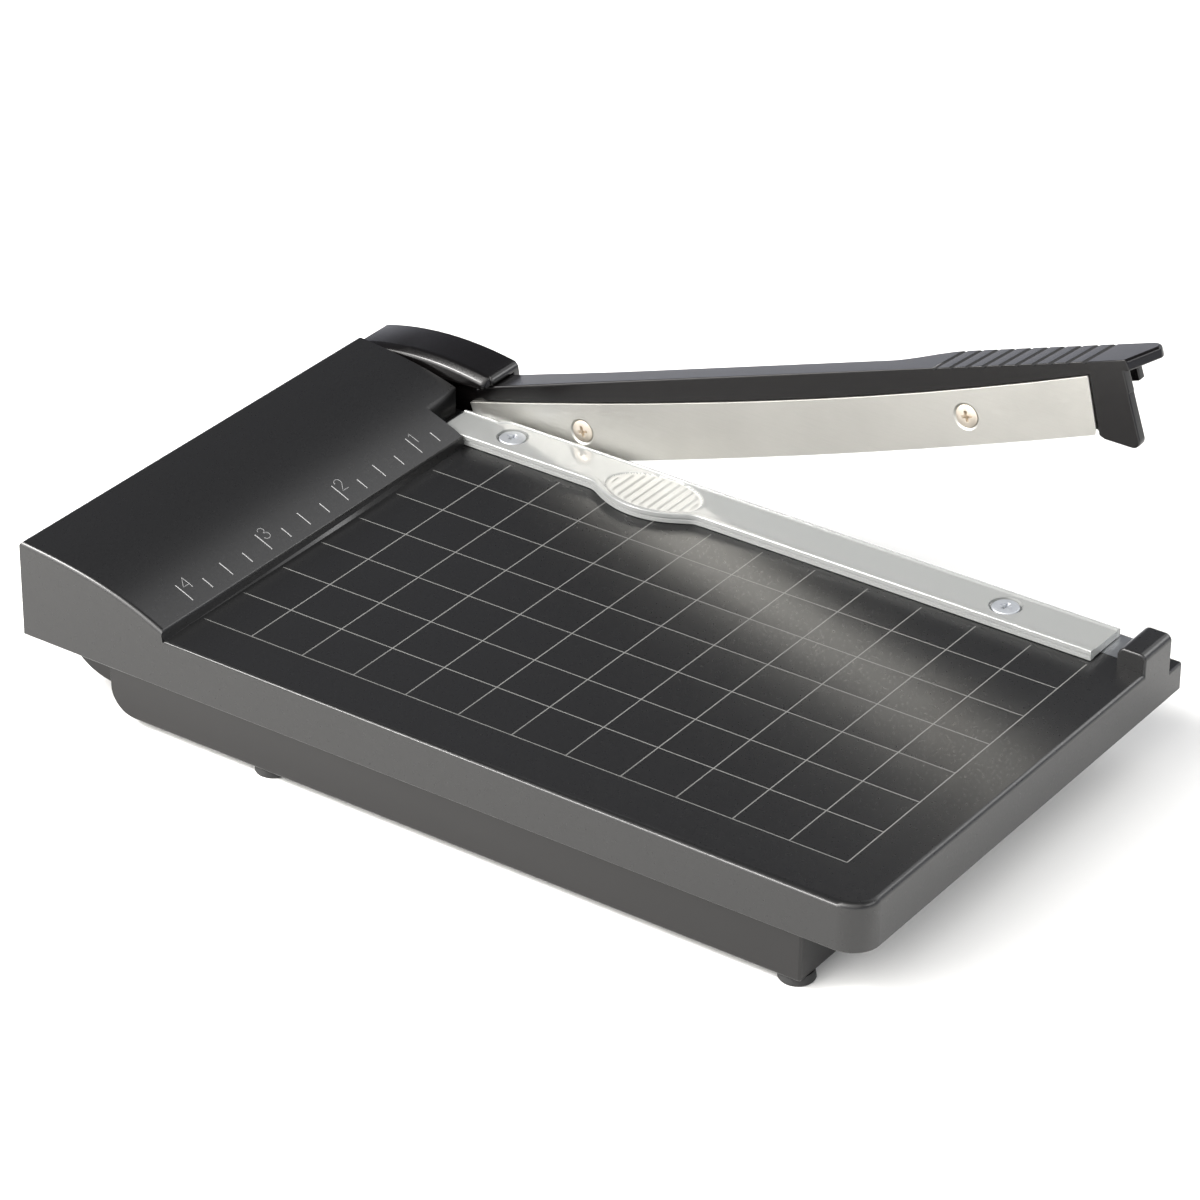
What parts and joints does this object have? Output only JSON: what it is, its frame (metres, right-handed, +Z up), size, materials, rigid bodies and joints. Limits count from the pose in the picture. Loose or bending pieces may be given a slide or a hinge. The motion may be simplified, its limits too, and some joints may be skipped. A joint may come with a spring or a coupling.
{
  "type": "paper trimmer",
  "caption": "Small lever paper trimmer: black moulded table with grid and ruler, raised lever with steel blade, clear finger guard.",
  "frame": {"origin": "middle of the trimmer's box on the plane that its feet stand on", "axes": "+X to the lever's side, +Y to the head with the pivot, +Z up"},
  "size_m": [0.1238, 0.2016, 0.0861],
  "materials": {
    "black_moulding": "fine moulded texture",
    "black_housing": "matt",
    "black_lever": "satin",
    "clear_acrylic": "clear",
    "bed_steel": "satin",
    "blade_steel": "satin ground",
    "spring_steel": "drawn wire",
    "zinc_steel": "plated",
    "bush_brass": "turned",
    "rubber": "matt"
  },
  "bodies": {
    "base": {"table_base": "black_moulding", "lower_housing": "black_housing", "housing_screws": "zinc_steel", "foot_front_left": "rubber", "foot_front_right": "rubber", "foot_rear_left": "rubber", "foot_rear_right": "rubber", "bed_strip": "bed_steel", "clear_guard": "clear_acrylic", "guard_screws": "zinc_steel", "guard_nuts": "zinc_steel", "pivot_bolt": "zinc_steel", "thrust_washer": "zinc_steel", "pivot_plate": "bed_steel", "pivot_plate_screws": "zinc_steel", "pivot_spring": "spring_steel", "spring_washer": "zinc_steel", "lock_nut": "zinc_steel"},
    "arm": {"arm_lever": "black_lever", "pivot_cover": "black_lever", "blade": "blade_steel", "blade_screws": "zinc_steel", "blade_nuts": "zinc_steel", "pivot_bush": "bush_brass"}
  },
  "joints": [
    {"name": "arm_hinge", "type": "hinge", "parent": "base", "child": "arm", "pos_m": [0.0519, 0.08996, 0.0157], "axis": [-1, 0, 0], "range_deg": [-14.4, 30]}
  ]
}
